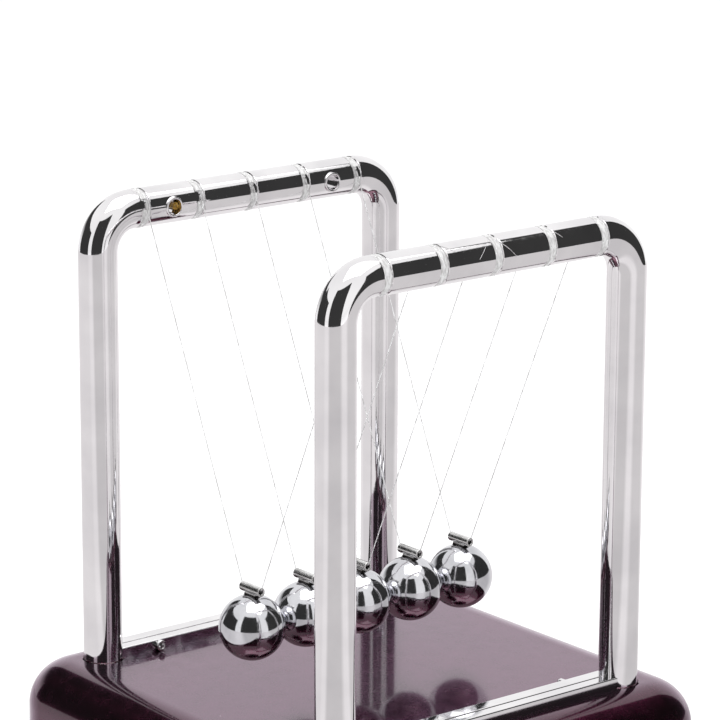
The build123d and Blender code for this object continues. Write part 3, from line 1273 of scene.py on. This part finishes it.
@dataclass
class LooseEnd:
    """A loose end of line lying over a top bar: it begins and turns in degrees, and drifts along X."""

    wardrobe: Wardrobe
    end: End
    number: int
    name: str
    begin: float
    turn: float
    advance: float
    line_radius: float = 0.045 * MM
    lift: float = 0.07 * MM

    def build(self) -> None:
        """Builds and dresses the loose end."""
        tie = Tie(self.wardrobe, self.end, self.number)
        radius = RingFrame.tube_radius + self.lift
        begin, turn = math.radians(self.begin), math.radians(self.turn)
        spin_axis = Vector((-self.end.value, 0, 0)) * (1 if turn > 0 else -1)
        onward = tie.around(begin + math.copysign(math.pi / 2, turn), 1.0) - tie.axis_point
        bar = RoundBar(tie.around(begin, radius), onward, self.line_radius, 8)
        bar.bend(tie.axis_point, spin_axis, abs(turn), 30, self.advance * spin_axis.x)
        bar.close()
        piece = new_piece(self.name, bar.mesh, 60.0)
        self.wardrobe.finish(piece, "fishing_line")
        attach(piece, STAND)
        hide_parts(f"wrap_{self.end.word}_{self.number}")


# Groove, name, where it begins and how far it turns in degrees, and its drift along X.
LOOSE_ENDS = (
    (3, "loose_end_a", 118.0, 62.0, 5.2 * MM),
    (3, "loose_end_b", 100.0, 70.0, -6.4 * MM),
    (4, "loose_end_c", 112.0, 38.0, 3.4 * MM),
    (2, "loose_end_d", 96.0, 44.0, 4.2 * MM),
)


@dataclass
class PocketGlue:
    """A dab of yellowed glue in the bottom of a frame pocket."""

    wardrobe: Wardrobe
    end: End
    radius: float = 0.95 * MM
    depth: float = 1.7 * MM
    offset: float = 0.98 * MM
    lump: float = 0.35 * MM

    def build(self) -> None:
        """Builds and dresses the dab."""
        inward = Vector((0, -self.end.value, 0))
        floor = RingFrame.tube_radius - RingFrame.pocket_depth - RingFrame.rim_sink / 2
        pocket_x = (ball_place(1).x + ball_place(2).x) / 2
        centre = Vector((pocket_x + self.offset, self.end.value * post_y(), bar_height()))
        centre += inward * floor
        mesh = bmesh.new()
        radius, depth = self.radius, self.depth
        profile = ((0.02 * radius, 0), (radius, 0), (radius, depth * 0.9), (radius * 0.8, depth * 0.72),
                   (radius * 0.4, depth * 0.5), (0.02 * radius, depth * 0.46))
        Lathe.spin(mesh, profile, centre, inward, Vector((1, 0, 0)), 40)
        for vert in mesh.verts:
            if (vert.co - centre).dot(inward) > RingFrame.rim_sink / 2:
                vert.co += inward * (self.lump * noise.noise(vert.co * 900.0))
        piece = new_piece(f"{self.end.word}_pocket_glue", mesh, 60.0)
        self.wardrobe.finish(piece, "aged_glue")
        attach(piece, STAND)
        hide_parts(f"glue_{self.end.word}")


# ---- studio


@dataclass
class Studio:
    """Pale floor, soft light, dark room seen only in the shine, and the camera."""

    azimuth: float = -38.94
    elevation: float = 14.32
    roll: float = 0.23
    distance: float = 0.908
    aim: tuple[float, float, float] = (0.0002, 0.0, 0.1032)
    lens: float = 181.3
    room_radius: float = 0.80
    # Painted light and shade of the table as reflections see it: grey where the dark room shades it, white where
    # light falls.
    table_lit_and_shaded_tones: tuple[tuple[float, float], ...] = (
        (-180, 0.89), (-145, 0.89), (-130, 0.80), (-60, 0.80), (-50, 0.87), (-38, 0.87), (-28, 0.64),
        (20, 0.64), (33, 0.86), (50, 0.87), (63, 0.67), (112, 0.67), (132, 0.89), (180, 0.89))

    def glow(self, nodes: Nodes, colour: bpy.types.NodeSocket) -> None:
        """Makes a material give off a colour evenly, for the painted reflections.

        Args:
            nodes: The material's nodes.
            colour: The colour.
        """
        emission = nodes.add("Emission", Strength=1.0)
        nodes.join(colour, emission.inputs["Color"])
        nodes.join(emission.outputs[0], nodes.tree.nodes["Material Output"].inputs["Surface"])

    def in_shine_only(self, piece: bpy.types.Object) -> None:
        """Shows a stage piece only in reflections.

        Args:
            piece: The piece.
        """
        piece.visible_camera = False
        piece.visible_diffuse = False
        piece.visible_shadow = False
        piece.visible_transmission = False

    def direction(self, degrees: float) -> Vector:
        """A level direction.

        Args:
            degrees: Its angle, counted from the camera's side towards the right.

        Returns:
            The direction.
        """
        turn = math.radians(self.azimuth)
        to_camera = Vector((math.sin(turn), -math.cos(turn), 0))
        to_right = Vector((math.cos(turn), math.sin(turn), 0))
        angle = math.radians(degrees)
        return to_camera * math.cos(angle) + to_right * math.sin(angle)

    def room_wall(self, name: str, span: tuple[float, float], heights: tuple[float, float, float],
                  radius: float, tones: tuple[float, float] = (0.040, 0.040), fade: float = 0.2) -> None:
        """One stretch of the room round the table, a glowing painted reflection seen only in the shine.

        Args:
            name: The piece's name.
            span: Where it starts and ends, in degrees from the camera's side.
            heights: Its lower edge, and its top at the start and at the end.
            radius: Distance from the middle.
            tones: Its tone at the lower edge and higher up.
            fade: Height over which the first tone turns into the second.
        """
        (start, end), (bottom, top_start, top_end) = span, heights
        mesh = bmesh.new()
        first = mesh.verts.new(self.direction(start) * radius + Vector((0, 0, bottom)))
        bmesh.ops.spin(mesh, geom=[first], cent=(0, 0, 0), axis=(0, 0, 1), steps=24,
                       angle=math.radians(end - start), use_duplicate=False)
        grown = bmesh.ops.extrude_edge_only(mesh, edges=mesh.edges[:])
        for vert in only(bmesh.types.BMVert, grown["geom"]):
            level = Vector((vert.co.x, vert.co.y, 0)).normalized()
            share = math.degrees(self.direction(start).angle(level)) / (end - start)
            vert.co.z = top_start + (top_end - top_start) * share
        wall = new_piece(name, mesh)
        nodes = Nodes(name)
        height = nodes.add("SeparateXYZ")
        nodes.join(nodes.place(), height.inputs[0])
        rise = nodes.spread(height.outputs["Z"], 0.0, 1.0, bottom, bottom + fade)
        self.glow(nodes, nodes.ramp(rise, [(0.0, (tones[0],) * 3), (1.0, (tones[1],) * 3)]))
        wall.data.materials.append(nodes.material)
        self.in_shine_only(wall)

    def table_shine(self) -> None:
        """The table as the shine sees it: a glowing painted reflection, white, with painted shade that greys it
        before each dark stretch of room.
        """
        mesh = bmesh.new()
        bmesh.ops.create_circle(mesh, cap_ends=True, segments=96, radius=self.room_radius,
                                matrix=Matrix.Translation((0, 0, 0.0004)))
        disc = new_piece("table_painted_shade_in_shine", mesh)
        nodes = Nodes("table_painted_shade_in_shine")
        gradient = nodes.add("TexGradient", gradient_type="RADIAL")
        coordinates = nodes.add("TexCoord")
        mapping = nodes.add("Mapping")
        camera_turn = math.atan2(self.direction(0).y, self.direction(0).x)
        mapping.inputs["Rotation"].default_value = (0, 0, -camera_turn)
        nodes.join(coordinates.outputs["Object"], mapping.inputs["Vector"])
        nodes.join(mapping.outputs["Vector"], gradient.inputs["Vector"])
        tones = nodes.ramp(gradient.outputs["Fac"], [
            (angle / 360 + 0.5, (tone, tone * 0.975, tone * 0.985)) for angle, tone in self.table_lit_and_shaded_tones])
        self.glow(nodes, tones)
        disc.data.materials.append(nodes.material)
        self.in_shine_only(disc)

    def floor(self) -> None:
        """Large pale floor."""
        mesh = bmesh.new()
        bmesh.ops.create_grid(mesh, x_segments=1, y_segments=1, size=6.0)
        floor = new_piece("floor", mesh)
        nodes = Nodes("floor_paper")
        nodes.set(Roughness=0.9)
        tone = nodes.ramp(nodes.noise(4.0, 2.0), [(0.3, (0.93, 0.93, 0.935)), (0.7, (0.95, 0.95, 0.955))])
        nodes.drive("Base Color", tone)
        floor.data.materials.append(nodes.material)

    def world(self) -> None:
        """Even white surroundings."""
        world = bpy.data.worlds.new("white_room")
        bpy.context.scene.world = world
        world.use_nodes = True
        back = world.node_tree.nodes["Background"]
        back.inputs["Color"].default_value = (1.0, 1.0, 1.0, 1.0)
        back.inputs["Strength"].default_value = 1.0

    def lamp(self, name: str, place: Vector, size: float, power: float) -> None:
        """A square softbox aimed at the object.

        Args:
            name: The lamp's name.
            place: Where it stands.
            size: Length of its sides.
            power: Its power in watts.
        """
        light = bpy.data.lights.new(name, "AREA")
        light.size = size
        light.energy = power
        holder = bpy.data.objects.new(name, light)
        bpy.context.scene.collection.objects.link(holder)
        holder.location = place
        aim = Vector(self.aim) - place
        holder.rotation_euler = aim.to_track_quat("-Z", "Y").to_euler()

    def camera(self) -> None:
        """The camera at the viewing angle."""
        turn, rise = math.radians(self.azimuth), math.radians(self.elevation)
        back = Vector((math.sin(turn) * math.cos(rise), -math.cos(turn) * math.cos(rise), math.sin(rise)))
        right = Vector((math.cos(turn), math.sin(turn), 0))
        up = back.cross(right)
        twist = math.radians(self.roll)
        spin = Matrix.Rotation(twist, 3, back)
        right, up = spin @ right, spin @ up
        data = bpy.data.cameras.new("camera")
        data.lens = self.lens
        data.sensor_width = 36.0
        data.clip_start = 0.01
        camera = bpy.data.objects.new("camera", data)
        bpy.context.scene.collection.objects.link(camera)
        axes = Matrix((right, up, back)).transposed().to_4x4()
        camera.matrix_world = Matrix.Translation(Vector(self.aim) + back * self.distance) @ axes
        bpy.context.scene.camera = camera

    def build(self) -> None:
        """Sets up the whole studio."""
        bpy.context.scene.view_settings.view_transform = "Standard"
        self.world()
        self.floor()
        self.table_shine()
        reach = self.room_radius
        # Painted reflections: glowing dark walls of the room, one wall bright at its foot, and a glowing white
        # card, all seen only in reflections.
        self.room_wall("room_left", (-118, -57), (0.0, 0.66, 0.50), reach)
        self.room_wall("room_camera_side", (-38, 23), (0.0, 0.97, 0.97), reach)
        self.room_wall("room_right", (56, 130), (0.0, 0.62, 1.16), reach)
        self.room_wall("room_back_left", (-150, -118), (0.13, 1.3, 1.3), reach + 0.02, (0.95, 0.04), 0.20)
        self.room_wall("card_left", (-180, -100), (0.25, 0.75, 0.75), 0.24, (1.0, 1.0))
        self.lamp("softbox", Vector((0.1, -0.1, 1.1)), 0.9, 6.0)
        self.camera()


def main() -> None:
    """Builds every piece in order."""
    logging.basicConfig(level=logging.INFO, format="%(message)s")
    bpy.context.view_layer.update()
    wardrobe = Wardrobe()
    wardrobe.dress_frame()
    LOG.info("carried-over pieces dressed")
    Base(wardrobe).build()
    LOG.info("base built")
    for end in End:
        RingFrame(wardrobe, end).build()
        LOG.info("%s frame built", end.word)
    for number in BALL_NUMBERS:
        HungBall(wardrobe, number).build()
        LOG.info("ball %d built", number)
    for end in End:
        for number in BALL_NUMBERS:
            Tie(wardrobe, end, number).build()
        PocketGlue(wardrobe, end).build()
    for loose_end in LOOSE_ENDS:
        LooseEnd(wardrobe, End.FRONT, *loose_end).build()
    LOG.info("ties, glue and loose ends built")
    Studio().build()
    LOG.info("studio built")


if __name__ == "__main__":
    main()
